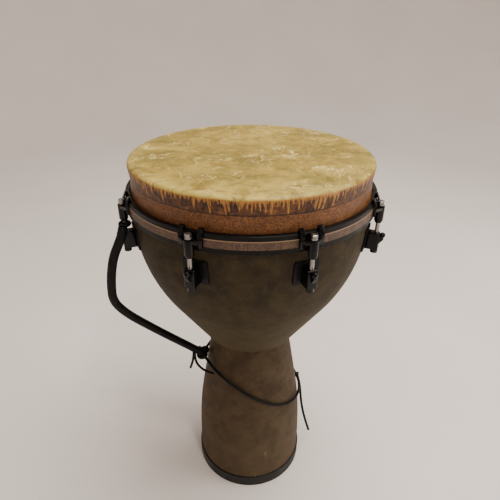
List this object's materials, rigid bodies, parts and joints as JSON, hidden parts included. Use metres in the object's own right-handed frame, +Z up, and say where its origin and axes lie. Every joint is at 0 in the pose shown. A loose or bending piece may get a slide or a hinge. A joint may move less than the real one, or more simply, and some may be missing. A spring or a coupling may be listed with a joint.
{
  "type": "djembe",
  "caption": "Goblet-shaped hand drum with a tucked head, counter hoop, key-turned tension bolts on claws and lugs, a rubber foot ring and a rope carrying handle.",
  "frame": {"origin": "centre of the foot's bottom face, on the floor", "axes": "+Z up along the drum's axis towards the head; -Y towards the player's side, with the rope handle to the left of it"},
  "size_m": [0.4115, 0.3852, 0.635],
  "materials": {
    "shell_fibre": "matte woven wrap over moulded fibre",
    "neck_fibre": "matte moulded fibre",
    "film": "mottled printed polyester film",
    "black_metal": "gloss black powder coat",
    "satin_black_metal": "satin black powder coat",
    "steel": "bright zinc-plated steel",
    "brass": "turned",
    "aluminium": "rolled channel",
    "trim": "speckled copper-brown inlay",
    "rubber": "matte moulded rubber",
    "rope": "braided black cord"
  },
  "bodies": {
    "shell": {"shell_bowl": "shell_fibre", "shell_pedestal": "shell_fibre", "neck_collar": "neck_fibre", "foot_ring": "rubber", "lug_plates": "satin_black_metal", "lug_castings": "black_metal", "lug_inserts": "brass", "lug_screws": "steel", "lug_screw_washers": "steel", "rope_eye": "rope", "rope_whipping": "rope", "rope_handle": "rope", "rope_knot": "rope", "waist_cord": "rope", "waist_cord_knot": "rope", "waist_cord_tail": "rope", "knot_strand": "rope", "knot_tail": "rope"},
    "head_assembly": {"head_film": "film", "flesh_hoop": "aluminium", "counter_hoop": "satin_black_metal", "hoop_trim_band": "trim", "tension_claws": "black_metal", "bolt_washers": "steel"},
    "tension_bolt_1": {"tension_bolt_1": "black_metal"},
    "tension_bolt_2": {"tension_bolt_2": "black_metal"},
    "tension_bolt_3": {"tension_bolt_3": "black_metal"},
    "tension_bolt_4": {"tension_bolt_4": "black_metal"},
    "tension_bolt_5": {"tension_bolt_5": "black_metal"},
    "tension_bolt_6": {"tension_bolt_6": "black_metal"},
    "tension_bolt_7": {"tension_bolt_7": "black_metal"},
    "tension_bolt_8": {"tension_bolt_8": "black_metal"}
  },
  "joints": [
    {"name": "head_lift", "type": "slide", "parent": "shell", "child": "head_assembly", "axis": [0, 0, 1], "range_m": [0, 0.02]},
    {"name": "tension_bolt_1_turn", "type": "hinge", "parent": "head_assembly", "child": "tension_bolt_1", "pos_m": [0.18016, 0.07462, 0.5845], "axis": [0, 0, 1], "range_deg": [0, 7200]},
    {"name": "tension_bolt_2_turn", "type": "hinge", "parent": "head_assembly", "child": "tension_bolt_2", "pos_m": [0.07462, 0.18016, 0.5845], "axis": [0, 0, 1], "range_deg": [0, 7200]},
    {"name": "tension_bolt_3_turn", "type": "hinge", "parent": "head_assembly", "child": "tension_bolt_3", "pos_m": [-0.07462, 0.18016, 0.5845], "axis": [0, 0, 1], "range_deg": [0, 7200]},
    {"name": "tension_bolt_4_turn", "type": "hinge", "parent": "head_assembly", "child": "tension_bolt_4", "pos_m": [-0.18016, 0.07462, 0.5845], "axis": [0, 0, 1], "range_deg": [0, 7200]},
    {"name": "tension_bolt_5_turn", "type": "hinge", "parent": "head_assembly", "child": "tension_bolt_5", "pos_m": [-0.18016, -0.07462, 0.5845], "axis": [0, 0, 1], "range_deg": [0, 7200]},
    {"name": "tension_bolt_6_turn", "type": "hinge", "parent": "head_assembly", "child": "tension_bolt_6", "pos_m": [-0.07462, -0.18016, 0.5845], "axis": [0, 0, 1], "range_deg": [0, 7200]},
    {"name": "tension_bolt_7_turn", "type": "hinge", "parent": "head_assembly", "child": "tension_bolt_7", "pos_m": [0.07462, -0.18016, 0.5845], "axis": [0, 0, 1], "range_deg": [0, 7200]},
    {"name": "tension_bolt_8_turn", "type": "hinge", "parent": "head_assembly", "child": "tension_bolt_8", "pos_m": [0.18016, -0.07462, 0.5845], "axis": [0, 0, 1], "range_deg": [0, 7200]}
  ],
  "couplings": [
    {"joint": "tension_bolt_1_turn", "follows": "head_lift", "rad_per_m": 6283.2},
    {"joint": "tension_bolt_2_turn", "follows": "head_lift", "rad_per_m": 6283.2},
    {"joint": "tension_bolt_3_turn", "follows": "head_lift", "rad_per_m": 6283.2},
    {"joint": "tension_bolt_4_turn", "follows": "head_lift", "rad_per_m": 6283.2},
    {"joint": "tension_bolt_5_turn", "follows": "head_lift", "rad_per_m": 6283.2},
    {"joint": "tension_bolt_6_turn", "follows": "head_lift", "rad_per_m": 6283.2},
    {"joint": "tension_bolt_7_turn", "follows": "head_lift", "rad_per_m": 6283.2},
    {"joint": "tension_bolt_8_turn", "follows": "head_lift", "rad_per_m": 6283.2}
  ]
}
